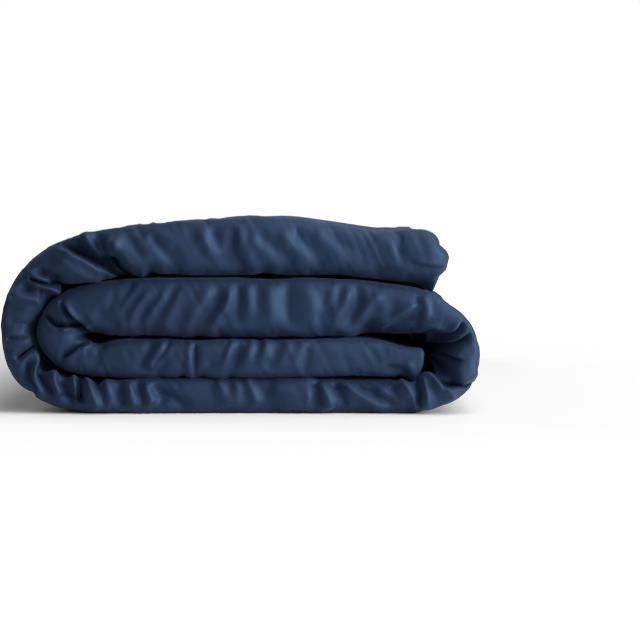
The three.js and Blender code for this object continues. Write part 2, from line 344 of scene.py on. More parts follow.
# %% The front of a layer
# x, z, squareness above and below the middle, in order along the band
SQUARE = [
    (216, 156, 3.0, 1.5), (38, 174, 3.2, 2.0), (-232, 87, 2.8, 2.5), (0, 18, 3.2, 3.0),
    (236, 61, 2.8, 2.3), (160, 107, 3.1, 1.7), (70, 110, 3.2, 2.9), (-60, 110, 3.2, 2.3),
    (-187, 80, 2.8, 2.5), (30, 57, 2.8, 2.9),
]
UPPER_BLEND = 1.5  # how soon the upper half's shape takes over when a layer leans
MEET_POWER = 1.5  # swelling belongs to the flat of a leaf and dies out round the fold
square_places = [place_of(x, z) for x, z, above, below in SQUARE]
upper_square = np.interp(fine_places, square_places, [above for x, z, above, below in SQUARE])[:, None]
lower_square = np.interp(fine_places, square_places, [below for x, z, above, below in SQUARE])[:, None]
upper = smooth(0.5 + UPPER_BLEND * np.cos(lean)[:, None] * np.sign(outward))
square = lower_square + (upper_square - lower_square) * upper
squareness = (facing**square + np.abs(outward) ** square) ** (-1 / square)
plain_radius = outside_radius[:, None] * squareness + FOLD_BULGE * facing * end_share[:, None]
meet = np.where(outward > 0, close_outer[:, None], -close_inner[:, None]) * np.abs(outward) ** MEET_POWER
print(f"the front reaches {plain_radius.max():.0f} mm out from the middle of its fold at most")

# %% [markdown]
# The hollow inside the right turn isn't empty: cloth is bunched up in it, and lies well back from the
# front. It could be a piece of its own, but it is the same cloth, so the inner face simply swells there.
# How far back it lies is set later, with the points.

# %% Bunched cloth in the right turn
HOLLOW_FILL = 26  # how far the cloth swells into the hollow
HOLLOW = [(232, 76, 30, 1), (228, 36, 18, 1.2)]  # x, z, length along the band, share of the filling
HOLLOW_POWER = 1.2  # it swells more towards the inner leaf
hollow_share = sum(share * bump(x, z, length) for x, z, length, share in HOLLOW)
bunched = HOLLOW_FILL * hollow_share[:, None] * np.clip(-outward, 0, 1) ** HOLLOW_POWER
meet -= bunched * (1 - smooth(row_back / STRIP_DEPTH))
plain_height = fold_middle[:, None] + plain_radius * outward + meet
print(f"the cloth inside the right turn is bunched by up to {bunched.max():.0f} mm")

# %% [markdown]
# Soft cloth that is bent round a turn gathers on the inside of it, and a rolled duvet also has slanting
# wrinkles along each layer. A simulation alone makes wrinkles, but not these ones, so they are charted
# on the front view, in millimetres: soft troughs and ridges, sharp pinches, and tucks, where one side
# rolls over the other. Pinches and tucks are listed from their shallow end to their deep one.

# %% Kinds of crease
CREASES = {}


def trough(width, depth, *path):
    return {"kind": "soft", "width": width, "height": -depth, "path": path}


def ridge(width, height, *path):
    return {"kind": "soft", "width": width, "height": height, "path": path}


def pinch(width, depth, *path):
    return {"kind": "pinch", "width": width, "height": -depth, "path": path}


def tuck(width, depth, lip_side, *path):
    return {"kind": "tuck", "width": width, "height": -depth, "lip_side": lip_side, "path": path}


print("a crease is a trough, a ridge, a pinch or a tuck, with a path of (x, z) points")

# %% [markdown]
# On the top the wrinkles slant down to the right, because the upper side is drawn towards the loose end.
# They start below the upper edge and die out above the lower one. The loose end itself has a flat tuck
# with a dark side.

# %% Creases of the top
CREASES["top"] = [
    trough(7, 2.5, (-102, 174), (-92, 158), (-86, 149)),
    ridge(6, 2.5, (-97, 178), (-87, 171), (-72, 155)),
    trough(6, 4, (-83, 181), (-73, 171), (-59, 153)),
    ridge(4.5, 1.6, (-83, 189), (-68, 178)),
    trough(6, 1, (-47, 181), (-37, 168)),
    ridge(6, 3, (-29, 188), (-28, 176), (-18, 165)),
    trough(6, 2, (-34, 169), (-24, 157)),
    trough(6, 4, (-24, 190), (-18, 180), (-12, 168), (-5, 154)),
    trough(6, 4.5, (0, 188), (-1, 176), (3, 163), (10, 150)),
    ridge(5.5, 3.5, (6, 192), (6, 177), (15, 162), (25, 150)),
    trough(5, 2, (24, 162), (34, 151)),
    ridge(6, 2.5, (17, 180), (33, 168), (47, 154)),
    trough(6, 3.5, (29, 184), (45, 172), (58, 157)),
    ridge(4.5, 1.2, (38, 188), (51, 177)),
    ridge(7, 3, (52, 184), (64, 171), (80, 153)),
    trough(6, 3, (59, 190), (72, 180), (85, 164), (88, 151)),
    ridge(6, 2.2, (89, 187), (99, 176), (111, 160)),
    trough(7, 2.2, (96, 188), (109, 178), (126, 170), (138, 165)),
    ridge(4, 1.8, (152, 183), (163, 170), (166, 156)),
    trough(6, 1.2, (170, 181), (172, 165)),
    trough(10, 2, (145, 165), (151, 149)),
    tuck(14, 8, "left", (184, 160), (195, 157), (206, 155), (219, 154)),
    ridge(6, 2, (180, 172), (196, 168), (212, 170)),
    trough(8, 3, (150, 145), (180, 140), (202, 135)),
]
print(len(CREASES["top"]), "creases on the top")

# %% [markdown]
# Round the wide turn the inner side has less room than the outer one, so it gathers: deep tucks above
# the second layer, short pinches that point to the middle of the turn, and narrow ridges at its foot.

# %% Creases of the wide turn
CREASES["wide turn"] = [
    tuck(9, 13, "right", (-190, 175), (-171, 166), (-152, 156), (-139, 148), (-126, 142), (-118, 140)),
    trough(8, 3, (-170, 173), (-150, 163), (-137, 155)),
    ridge(5, 3, (-160, 182), (-152, 175), (-143, 164)),
    trough(6, 4.5, (-147, 182), (-141, 170), (-135, 159)),
    ridge(9, 4.5, (-132, 178), (-124, 168), (-110, 157), (-97, 149)),
    tuck(8, 12, "right", (-134, 157), (-122, 149), (-112, 142)),
    pinch(6, 12, (-132, 158), (-118, 151), (-100, 143)),
    ridge(10, 2.5, (-187, 162), (-163, 149), (-147, 143)),
    pinch(1.3, 9, (-215, 140), (-205, 137), (-188, 135)),
    ridge(3.5, 2, (-213, 144), (-202, 141)),
    trough(4, 3.5, (-204, 147), (-191, 140)),
    ridge(5, 2.5, (-213, 135), (-201, 131), (-190, 129)),
    trough(5, 4, (-223, 131), (-209, 128), (-202, 124)),
    ridge(7, 2, (-232, 123), (-212, 120)),
    trough(6, 1.5, (-237, 111), (-216, 114)),
    trough(7, 2, (-239, 97), (-217, 92)),
    pinch(2.5, 3, (-240, 78), (-230, 79), (-220, 83)),
    ridge(4, 1.5, (-237, 75), (-225, 77)),
    pinch(1.4, 10, (-230, 59), (-224, 64), (-215, 70)),
    ridge(2.5, 3, (-213, 64), (-211, 55), (-213, 42), (-209, 30), (-204, 22)),
    trough(4, 4, (-207, 55), (-206, 41), (-200, 29), (-195, 19)),
    trough(4, 3, (-217, 52), (-219, 38), (-214, 25)),
    ridge(6, 2.5, (-195, 42), (-188, 25)),
    trough(5, 4, (-186, 35), (-178, 21), (-172, 13)),
    ridge(2.5, 2.5, (-174, 35), (-170, 23), (-171, 12)),
    pinch(2.5, 8, (-167, 14), (-166, 26), (-170, 38)),
    ridge(4.5, 2.5, (-160, 34), (-152, 22), (-148, 10)),
    trough(4, 2, (-147, 29), (-142, 15)),
]
print(len(CREASES["wide turn"]), "creases on the wide turn")

# %% [markdown]
# The bottom layer carries the others. Its wrinkles are short and upright on the left, and long and
# slanting on the right, where the cloth is pulled up round the turn.

# %% Creases of the bottom
CREASES["bottom"] = [
    ridge(6, 2, (-134, 30), (-132, 13)),
    trough(4, 2, (-121, 29), (-120, 14)),
    ridge(4.5, 1.8, (-108, 27), (-105, 14)),
    trough(4, 2, (-102, 28), (-98, 16)),
    ridge(4.5, 1.5, (-91, 25), (-88, 15)),
    trough(5, 2, (-82, 25), (-78, 15)),
    trough(5, 2, (-75, 24), (-54, 7)),
    ridge(5, 1.5, (-15, 28), (-9, 15)),
    ridge(5, 1.5, (2, 27), (3, 15)),
    ridge(4.5, 1.8, (14, 30), (21, 15)),
    ridge(9, 2, (42, 23), (79, 20)),
    ridge(12, 1.6, (45, 9), (125, 7)),
    trough(5, 2, (84, 34), (120, 34), (168, 34)),
    trough(4, 2.5, (84, 28), (87, 15)),
    ridge(7, 2.2, (90, 27), (97, 13)),
    trough(4, 2.5, (105, 28), (113, 12)),
    ridge(3.5, 2.2, (116, 28), (136, 17), (158, 4)),
    trough(4, 2, (126, 29), (147, 18), (168, 6)),
    ridge(4, 1.5, (152, 26), (174, 15)),
    trough(4, 1.8, (163, 24), (184, 9)),
    ridge(5, 3, (175, 30), (191, 10)),
    pinch(3, 6, (191, 12), (192, 26), (190, 44)),
    ridge(4, 2.5, (197, 32), (201, 10)),
]
print(len(CREASES["bottom"]), "creases on the bottom")

# %% [markdown]
# The right turn is the loosest one. Its inner side is bunched, with broad tucks that run into the
# hollow.

# %% Creases of the right turn
CREASES["right turn"] = [
    tuck(13, 14, "right", (234, 98), (226, 89), (217, 85), (207, 88), (200, 89), (193, 84)),
    tuck(8, 14, "right", (239, 84), (226, 76), (215, 73), (205, 70)),
    tuck(5, 12, "right", (231, 58), (222, 61), (214, 62), (203, 59)),
    tuck(12, 16, "left", (232, 30), (217, 27), (205, 36), (193, 46)),
    pinch(3.5, 16, (219, 81), (207, 83), (200, 84), (193, 80)),
    pinch(1.5, 9, (244, 32), (234, 30), (218, 28)),
    ridge(4, 2.5, (195, 44), (205, 36), (217, 26), (222, 20)),
    ridge(6, 2, (243, 42), (231, 36)),
]
print(len(CREASES["right turn"]), "creases on the right turn")

# %% [markdown]
# The second layer is the fullest. Its wrinkles slant down to the left. They are close together on the
# left and broad in the middle, and a long ridge comes out of the right turn.

# %% Creases of the second layer
CREASES["second"] = [
    trough(7, 2, (-141, 101), (-125, 94)),
    trough(3.5, 1.2, (-127, 124), (-132, 110), (-138, 104)),
    trough(4, 1.5, (-108, 132), (-120, 113)),
    ridge(4, 1.8, (-101, 131), (-117, 110), (-119, 92)),
    trough(4, 1.8, (-102, 121), (-112, 110), (-114, 103)),
    ridge(4, 1.8, (-87, 125), (-103, 109), (-108, 89)),
    trough(4.5, 2.5, (-80, 124), (-94, 110), (-99, 98), (-98, 86)),
    ridge(4, 2, (-72, 125), (-87, 104), (-91, 92)),
    trough(5, 3, (-61, 132), (-72, 114), (-80, 100), (-87, 85)),
    ridge(4.5, 1.8, (-59, 124), (-69, 109), (-73, 93)),
    trough(5, 2, (-54, 104), (-59, 92)),
    ridge(6, 2.5, (-28, 127), (-39, 109), (-51, 85)),
    trough(5.5, 4.5, (-19, 127), (-21, 113), (-33, 98), (-42, 83)),
    ridge(4.5, 3, (-4, 130), (-9, 114), (-19, 100), (-28, 85)),
    trough(5, 3, (2, 130), (3, 114), (2, 101)),
    trough(5, 2, (-10, 98), (-15, 86)),
    ridge(5, 1.8, (14, 130), (15, 107)),
    trough(5, 1.5, (22, 131), (24, 106)),
    ridge(7, 2.5, (36, 128), (36, 97)),
    trough(6, 3, (54, 131), (54, 98)),
    ridge(7, 2, (73, 128), (81, 110), (82, 93)),
    trough(3.5, 1.5, (88, 98), (91, 91)),
    trough(6, 1.5, (93, 122), (91, 106)),
    ridge(4, 1.2, (103, 130), (100, 118)),
    trough(4, 1.2, (108, 127), (106, 114)),
    ridge(5, 3, (120, 125), (112, 112), (102, 93)),
    trough(6, 5, (126, 128), (127, 116), (121, 101), (120, 93)),
    ridge(5, 3, (151, 122), (140, 112), (126, 93), (115, 85)),
    trough(7, 4, (145, 109), (142, 97), (136, 86)),
    ridge(3.5, 3.2, (190, 114), (171, 103), (150, 86)),
    trough(5, 2.5, (163, 112), (162, 104)),
    trough(9, 4.5, (132, 83), (160, 86), (188, 88)),
    trough(4, 3.5, (189, 115), (190, 105), (185, 94)),
    ridge(4, 2.5, (197, 117), (198, 105)),
]
print(len(CREASES["second"]), "creases on the second layer")

# %% [markdown]
# The tight turn is folded nearly flat, so its tucks and pinches meet in a star at its inner side.

# %% Creases of the tight turn
CREASES["tight turn"] = [
    pinch(4, 8, (-186, 92), (-172, 89), (-160, 83), (-152, 79)),
    pinch(4, 5, (-192, 90), (-200, 92), (-206, 98)),
    tuck(7, 10, "left", (-189, 117), (-181, 104), (-173, 96), (-167, 90)),
    ridge(3.5, 2, (-192, 113), (-189, 102), (-184, 93)),
    tuck(5, 10, "right", (-209, 101), (-203, 92), (-196, 88), (-184, 89), (-175, 90)),
    tuck(5, 10, "right", (-189, 56), (-183, 59), (-176, 65), (-168, 70), (-159, 76)),
]
print(len(CREASES["tight turn"]), "creases on the tight turn")

# %% [markdown]
# The third layer lies in the middle and is the flattest. It has a few upright wrinkles, and small ones
# at its sewn end.

# %% Creases of the third layer
CREASES["third"] = [
    trough(3.5, 1.2, (-143, 69), (-146, 56)),
    trough(3.5, 2, (-90, 70), (-99, 52)),
    ridge(4, 2.2, (-77, 72), (-81, 63), (-88, 54)),
    pinch(3, 3, (-87, 52), (-75, 64), (-72, 72)),
    ridge(3, 1.5, (-71, 65), (-79, 55)),
    trough(4, 1.8, (-77, 52), (-81, 45)),
    pinch(3, 4, (-43, 72), (-43, 37)),
    ridge(2.5, 1.5, (-49, 69), (-48, 39)),
    trough(3.5, 2, (-56, 48), (-54, 39)),
    trough(4.5, 2, (-27, 51), (-35, 40)),
    ridge(3.5, 2.5, (-3, 72), (-9, 58), (-12, 40)),
    trough(4.5, 4, (0, 67), (-3, 54), (-9, 42)),
    ridge(4, 1.8, (17, 72), (13, 60)),
    trough(4, 1.2, (6, 65), (4, 54)),
    trough(4, 1.8, (22, 70), (18, 54)),
    ridge(3.5, 1.5, (31, 71), (29, 63)),
    trough(5, 1.5, (42, 70), (35, 52)),
    ridge(4, 1, (54, 69), (46, 52)),
    ridge(5, 1.2, (69, 69), (60, 52)),
    trough(4, 1, (73, 64), (70, 46)),
    trough(4, 3.5, (161, 46), (174, 43), (182, 36)),
    ridge(3.5, 2, (180, 48), (186, 36)),
]
print(len(CREASES["third"]), "creases on the third layer")

# %% [markdown]
# Each crease becomes a height over the front of its own layer. A displacement picture could be painted
# for that, but the chart is easier to change, so it is used directly. First a crease's path is drawn as
# a smooth curve through its charted points.

# %% The path of a crease
PATH_POINTS = 24  # of the drawn curve


def smooth_path(points, shift, reach):
    """The path as a curve through its points, closely spaced, that runs on a little at both ends."""
    points = np.array(points, float) + (shift, 0)
    points[0] += reach * (points[0] - points[1]) / np.linalg.norm(points[0] - points[1])
    points[-1] += reach * (points[-1] - points[-2]) / np.linalg.norm(points[-1] - points[-2])
    padded = np.concatenate([[2 * points[0] - points[1]], points, [2 * points[-1] - points[-2]]])
    along = np.linspace(0, len(points) - 1, PATH_POINTS)
    k = np.minimum(along.astype(int), len(points) - 2)
    t = (along - k)[:, None]
    a, b, c, d = (padded[k + n] for n in range(4))
    return 0.5 * (2 * b + (c - a) * t + (2 * a - 5 * b + 4 * c - d) * t**2 + (3 * b - a - 3 * c + d) * t**3)


first_path = smooth_path(CREASES["top"][0]["path"], 0, 0)
first_length = np.linalg.norm(np.diff(first_path, axis=0), axis=1).sum()
print(f"the first crease is {first_length:.0f} mm long")

# %% [markdown]
# A point of the cloth has to know how far away a crease is, on which side of it, and how far along. The
# path is a chain of short straight pieces, so the nearest piece answers all three.

# %% Distance to a path


def distance_to(path, x, z):
    """For the points (x, z): the distance to the path, the same with a plus sign on the path's left,
    the share of the path before the nearest place, and the path's direction there."""
    best = np.full(x.shape, np.inf)
    left = np.zeros(x.shape)
    share = np.zeros(x.shape)
    along_x, along_z = np.zeros(x.shape), np.zeros(x.shape)
    for k in range(len(path) - 1):
        (ax, az), (bx, bz) = path[k], path[k + 1]
        dx, dz = bx - ax, bz - az
        t = np.clip(((x - ax) * dx + (z - az) * dz) / (dx * dx + dz * dz), 0, 1)
        off_x, off_z = x - ax - t * dx, z - az - t * dz
        gap = np.hypot(off_x, off_z)
        nearer = gap < best
        best = np.where(nearer, gap, best)
        left = np.where(nearer, np.sign(dx * (z - az) - dz * (x - ax)) * gap, left)
        share = np.where(nearer, (k + t) / (len(path) - 1), share)
        along_x = np.where(nearer, dx / math.hypot(dx, dz), along_x)
        along_z = np.where(nearer, dz / math.hypot(dx, dz), along_z)
    return best, left, share, along_x, along_z


to_end = distance_to(first_path, rows[:1, 0], rows[:1, 1])[0][0]
print(f"it lies {to_end:.0f} mm away from the loose end")

# %% [markdown]
# The distance then goes through a profile. A soft crease is a roof with a rounded crest, because cloth
# bends along a line and stays nearly flat beside it. Plain bells would be shorter to write, but they
# look like rubber. A pinch is a cusp cut in from the front, and a tuck is a step with a raised lip that
# leans over a narrow slit.

# %% Profiles of the creases
REACH, SHARP_REACH = 9, 4  # how far a soft crease, or a sharp one, runs on past its charted ends
SPREAD_START, SPREAD_END = 0.7, 1.35  # a wrinkle widens along its length
CREST = 0.7  # how round a ridge or trough is along its line
FLANK = 1.8  # its flanks reach this many widths out
FOOT = 0.2  # how softly a flank meets the cloth beside it
FADE, SHARP_FADE = 0.22, 0.2  # share of a crease's length over which it dies out
STEP_WIDTH = 1.5  # of the step in a tuck
NARROW = 3  # the slit at the foot of a lip
LIP_SHARE = 0.3  # a tuck's lip rises by this share of its depth
LIP_WIDTH = 4  # of the raised lip
LIP_OVERHANG = 2.5  # how far the lip leans over the slit


def crease_shape(crease, x, z, shift):
    """How far a crease moves points out, forward, and across in x and z."""
    reach = REACH if crease["kind"] == "soft" else SHARP_REACH
    path = smooth_path(crease["path"], shift, reach)
    gap, left, share, along_x, along_z = distance_to(path, x, z)
    width, height = crease["width"], crease["height"]
    if crease["kind"] == "soft":
        spread = width * (SPREAD_START + (SPREAD_END - SPREAD_START) * share)
        flank = 1 - (np.sqrt(gap**2 + CREST**2) - CREST) / (FLANK * spread)
        roof = 0.5 * (flank + np.sqrt(flank**2 + FOOT**2))
        return height * roof * smooth(share / FADE) * smooth((1 - share) / FADE), 0, 0, 0
    strength = smooth(share / SHARP_FADE)
    if crease["kind"] == "pinch":
        return 0, height * np.exp(-gap / width) * strength, 0, 0
    past_lip = left if crease["lip_side"] == "right" else -left
    in_valley = 0.5 + 0.5 * np.tanh(past_lip / STEP_WIDTH)
    valley = height * 0.5 * (np.exp(-gap / width) + np.exp(-gap / NARROW)) * in_valley
    near_lip = np.exp(-((gap / LIP_WIDTH) ** 2)) * (1 - in_valley)
    lip = -LIP_SHARE * height * near_lip
    over = LIP_OVERHANG * near_lip * strength
    over = over if crease["lip_side"] == "right" else -over
    return 0, (valley + lip) * strength, -along_z * over, along_x * over


soft_count = sum(crease["kind"] == "soft" for creases in CREASES.values() for crease in creases)
sharp_count = sum(len(creases) for creases in CREASES.values()) - soft_count
print(f"{soft_count} soft creases and {sharp_count} sharp ones")

# %% [markdown]
# Now the creases of each stretch are added up over its own part of the strip and a little beyond. The
# chart's heights are right among themselves, and one factor for each stretch makes them as strong as the
# light and shade on the real cloth.

# %% Add the creases up
RELIEF = {
    "top": 1.1, "wide turn": 3.3, "bottom": 3.0, "right turn": 2.2,
    "second": 1.45, "tight turn": 2.3, "third": 1.6,
}
# Creases are charted where their light and dark sides show, so each stretch is moved across by this much.
CHART_SHIFT = {
    "top": -3.8, "wide turn": 1, "bottom": -3.4, "right turn": 0,
    "second": -2.8, "tight turn": 7, "third": -1.8,
}
RUN_MARGIN, RUN_BLEND = 100, 30  # a crease may run on into the neighbouring stretch of its layer
SLIT_LIMIT = 1.25  # of the distance from the front to the middle of the fold
chart_x = mid_x[:, None] - plain_height * np.sin(lean)[:, None]
chart_z = mid_z[:, None] + plain_height * np.cos(lean)[:, None]
charted, slit, across_x, across_z = (np.zeros(plain_height.shape) for _ in range(4))
for run, creases in CREASES.items():
    start, end = run_span[run][0] - RUN_MARGIN, run_span[run][1] + RUN_MARGIN
    near = slice(*np.searchsorted(fine_places, (start, end)))
    inside_run = within(fine_places, start, end, RUN_BLEND)[near, None]
    for crease in creases:
        out, ahead, side_x, side_z = crease_shape(crease, chart_x[near], chart_z[near], CHART_SHIFT[run])
        charted[near] += RELIEF[run] * out * inside_run
        slit[near] += RELIEF[run] * ahead * inside_run
        across_x[near] += side_x * inside_run
        across_z[near] += side_z * inside_run
deepest = SLIT_LIMIT * (outside_radius[:, None] + FOLD_BULGE) + bunched
slit = np.where(slit < 0, deepest * np.tanh(slit / deepest), slit)
for field in (charted, across_x, across_z):
    soften(field)
    soften(field.T)
print(f"creases reach from {charted.min():.1f} to {charted.max():.1f} mm, slits to {slit.min():.1f} mm")

# %% [markdown]
# No real cloth is smooth between its creases. Slow noise stands for uneven filling. The last small
# ripples are noise as well, turned up at its middle so that it has sharp crests, and drawn out along the
# wrinkles. A Displace modifier with a noise texture comes close, but its pattern can't follow the cloth
# round the turns.

# %% Unevenness of the filling and the cloth
BEND, BEND_LENGTH, BEND_OFFSET = 40, 160, 3  # slower noise that bends the ridges
SLANT = 0.5  # of the ripples, across the strip
# height, length along and across the cloth, place in the noise
UNEVEN = (1.6, 90, 120, 0.3)
RIPPLES = (0.25, 13, 60, 4.7)
RIPPLE_FOLDS = (0.6, 12, 55, 4.2)


def folds(u, v, along, across, offset):
    """Long ridges with a sharp crest, bent a little by slower noise."""
    bend = BEND * cloth_noise(u, v, BEND_LENGTH, BEND_LENGTH, offset + BEND_OFFSET)
    return 0.5 - 2 * np.abs(cloth_noise(u + bend, v + bend, along, across, offset))


def relief(pattern, u, v, height, along, across, offset):
    return height * pattern(u, v, along, across, offset)


strip_v = outside_radius[:, None] * row_angle + np.sign(row_angle) * row_back
strip_u = np.broadcast_to(fine_places[:, None], strip_v.shape)
slanted = strip_u - SLANT * strip_v
uneven = relief(cloth_noise, strip_u, strip_v, *UNEVEN)
ripples = relief(cloth_noise, slanted, strip_v, *RIPPLES) + relief(folds, slanted, strip_v, *RIPPLE_FOLDS)
print(f"the filling is uneven by {np.ptp(uneven):.1f} mm, and the ripples by {np.ptp(ripples):.1f} mm")

# %% [markdown]
# Where a layer lies against its neighbour it may not swell into it, so there only the inward part of the
# creases is kept. Over the open top and sides the front's wrinkles run on and die out, and near the
# floor the cloth is pressed flat. A Shrinkwrap modifier could keep two layers apart, but it knows
# nothing of the wrinkles.

# %% How far the creases reach
CARRY_ON = 70  # the front's wrinkles run on this far over the top
CREASE_DEPTH = 22  # and this far between two layers
TOP_CREASE, TOP_SHARE = 1.0, 0.3  # on top they are low, so that the roll's outline stays calm
INWARD_SHARE = 0.15  # what is left of a trough between two layers
LIE_BLEND, RIGHT_BLEND = 60, 40  # where the open top and the open right turn end
FLOOR_SHARE, FLOOR_HEIGHT = 0.2, 12  # what is left of the creases at the floor, and up to where
exposed_outer = smooth((run_span["bottom"][0] - LIE_BLEND - fine_places) / LIE_BLEND)
exposed_outer += within(fine_places, *run_span["right turn"], RIGHT_BLEND)
open_side = np.where(outward > 0, exposed_outer[:, None], 0)
front = np.sqrt(facing)
back_fade = np.exp(-row_back[None, :] / (CREASE_DEPTH + CARRY_ON * open_side))
swell = charted + uneven + ripples
between_layers = swell * np.where(swell > 0, front, INWARD_SHARE + (1 - INWARD_SHARE) * front)
on_top = open_side * TOP_CREASE * np.tanh(TOP_SHARE * swell / TOP_CREASE)
swell = np.where(np.abs(on_top) > np.abs(between_layers), on_top, between_layers) * back_fade
swell *= end_share[:, None] * (FLOOR_SHARE + (1 - FLOOR_SHARE) * smooth(chart_z / FLOOR_HEIGHT))
print(f"the cloth swells by {swell.min():.1f} to {swell.max():.1f} mm")

# %% [markdown]
# A point of the strip is written down by how far back it lies and by its height over the middle of its
# section. Slits go straight back from the front, and so does the bunched cloth inside the right turn.

# %% Points of the strip
HOLLOW_RECESS = 115  # the bunched cloth lies this far back
BUNCHED_START = 8  # where it is bunched more than this, slits go on into it
strip_y = fold_start[:, None] - (plain_radius + swell) * facing + row_back
bunched_share = smooth(bunched / BUNCHED_START) * (1 - smooth(row_back / STRIP_DEPTH))
strip_y -= slit * np.maximum(front, bunched_share) * end_share[:, None]
strip_y += HOLLOW_RECESS * smooth(bunched / HOLLOW_FILL)
strip_w = plain_height + swell * outward
print(f"{strip_w.size} points in the strip")

# %% [markdown]
# Behind the strip the two leaves run back to their seamed edges. There the filling thins out, the seam
# draws the cloth into small puckers, and the edges wave and wander, because nothing holds them straight.
# The loose end on top sinks onto the layer below. Sculpting could do this too, but noise keeps it even
# over two metres of seam.

# %% The leaves and their seamed edges
LEAF_ROWS = 44  # from the strip to the seamed edge
ROW_POWER = 1.25  # with more, the rows are closer together at the front
BACK_TAPER = 70  # a leaf thins out over this distance from its seamed edge
BACK_STAGGER = 14  # the outer leaf ends this far before the inner one
# height, length along and across
EDGE_WANDER = (9, 70, 1)
EDGE_WAVE, WAVE_OFFSET = (3, 45, 200), 9
PUCKER, PUCKER_OFFSET, PUCKER_REACH = (2.4, 17, 60), 5, 30
END_SAG, SAG_BLEND, SAG_LENGTH = 4, 80, 70  # behind the front, the loose end sinks onto the layer below


def leaf_rows(leaf, start_y):
    """The rows of the outer (1) or inner (-1) leaf: y, and the heights of its outside and its inside."""
    start = start_y[coarse, None]
    place = fine_places[coarse, None]
    wander = relief(cloth_noise, place, np.zeros(place.shape), *EDGE_WANDER, leaf)
    back_y = FOLDED_DEPTH / 2 - (BACK_STAGGER if leaf > 0 else 0) + wander
    share = np.sin(0.5 * np.pi * np.linspace(0, 1, LEAF_ROWS + 1)[1:]) ** ROW_POWER
    y = start + (back_y - start) * share
    place = np.broadcast_to(place, y.shape)
    filled = filled_share(back_y - y, BACK_TAPER)
    thickness = SEAM_THICKNESS + (end_thickness[coarse, None] - SEAM_THICKNESS) * filled
    swollen = (close_outer if leaf > 0 else close_inner)[coarse, None] * filled
    if leaf < 0:
        swollen = swollen + END_SAG * smooth((y - start) / SAG_BLEND) * smooth(2 - place / SAG_LENGTH)
    near_seam = np.exp(-(back_y - y) / PUCKER_REACH)
    pucker = relief(cloth_noise, place, y, *PUCKER, PUCKER_OFFSET + leaf) * near_seam
    wave = relief(cloth_noise, place, y, *EDGE_WAVE, WAVE_OFFSET + leaf) * near_seam
    middle = (outer_middle if leaf > 0 else inner_middle)[coarse, None] + wave
    return y, middle + leaf * (thickness / 2 + swollen) + pucker, middle - leaf * thickness / 2 + pucker


outer_y, outer_w, outer_inside_w = leaf_rows(1, strip_y[:, 0])
inner_y, inner_w, inner_inside_w = leaf_rows(-1, strip_y[:, -1])
print(f"two leaves of {outer_y.size} points, back to y = {inner_y.max():.0f} mm")

# %% [markdown]
# The open top and sides are creased as well: long soft folds that cross each other at a slant, left over
# from handling. They lie lower than the front's upper edge, so that they don't change the outline seen
# from the front.

# %% Creases on the top and the sides
# height, length along and across the cloth, place in the noise
TOP_UNEVEN = (4, 150, 210, 8.1)
# slant, then the same
TOP_FOLDS = [(0.35, 8, 60, 330, 2.9), (-0.5, 5.5, 45, 260, 6.3), (1.1, 1.2, 42, 150, 12.4)]
TOP_LOWER = 3  # the creases lie this much lower than the plain leaf
TOP_LIMIT = 2  # no crease rises more than this
FRONT_SHARE, FRONT_BLEND = 0.4, 130  # the creases are weaker just behind the front
behind_strip = outer_y - strip_y[coarse, :1]
leaf_u = np.broadcast_to(fine_places[coarse, None], outer_y.shape)
exposed_leaf = exposed_outer[coarse, None] * filled_share(FOLDED_DEPTH / 2 - outer_y, BACK_TAPER)
exposed_leaf = exposed_leaf * (FRONT_SHARE + (1 - FRONT_SHARE) * smooth(behind_strip / FRONT_BLEND))
carried = (strip_w - plain_height)[coarse, :1] * np.exp(-behind_strip / CARRY_ON)
top_relief = relief(cloth_noise, leaf_u, outer_y, *TOP_UNEVEN) - TOP_LOWER
for slant, *fold in TOP_FOLDS:
    top_relief = top_relief + relief(folds, leaf_u + slant * outer_y, outer_y, *fold)
top_relief = np.where(top_relief > 0, TOP_LIMIT * np.tanh(top_relief / TOP_LIMIT), top_relief)
outer_w = outer_w + carried + exposed_leaf * top_relief
print(f"creases on the top and the sides from {top_relief.min():.1f} to {top_relief.max():.1f} mm")

# %% [markdown]
# Now the sections are put into space. The whole roll is a little uneven as well, as the solid is: it
# sways to the sides along its depth and is lower at the back. Lattices can bend a mesh like that, but a
# formula on the points is exact and leaves no modifier behind.

# %% From sections into space
SWAY, SWAY_MORE = 2, 3  # at the front, and how much more at the back
SWAY_LENGTH = 620
BACK_LOWER = 0.05  # share of the height that is lost towards the back


def in_space(y, w, stations=slice(None)):
    """Points from how far back they lie and their height over the middle of their section."""
    x = mid_x[stations, None] - w * np.sin(lean[stations])[:, None]
    z = mid_z[stations, None] + w * np.cos(lean[stations])[:, None]
    return np.stack([x, y, z], -1)


def settle(points):
    """The unevenness of the whole roll, as in the solid."""
    back = (points[..., 1] + FOLDED_DEPTH / 2) / FOLDED_DEPTH
    reach = SWAY + SWAY_MORE * back
    points[..., 0] += reach * np.sin(2 * np.pi * points[..., 1] / SWAY_LENGTH)
    points[..., 2] = np.maximum(0, points[..., 2] * (1 - BACK_LOWER * back**2))
    return points


outer_points = settle(in_space(outer_y, outer_w, coarse))
inner_points = settle(in_space(inner_y, inner_w, coarse))
print(f"the leaves reach up to z = {outer_points[..., 2].max():.0f} mm")

# %% [markdown]
# The strip isn't settled yet, because its cloth is pressed first. The lips of the tucks lean across, and
# the two sewn ends of the band are ragged, because the seam pulls the cloth in unevenly: two short lists
# say how far an end reaches past a straight one at each height.

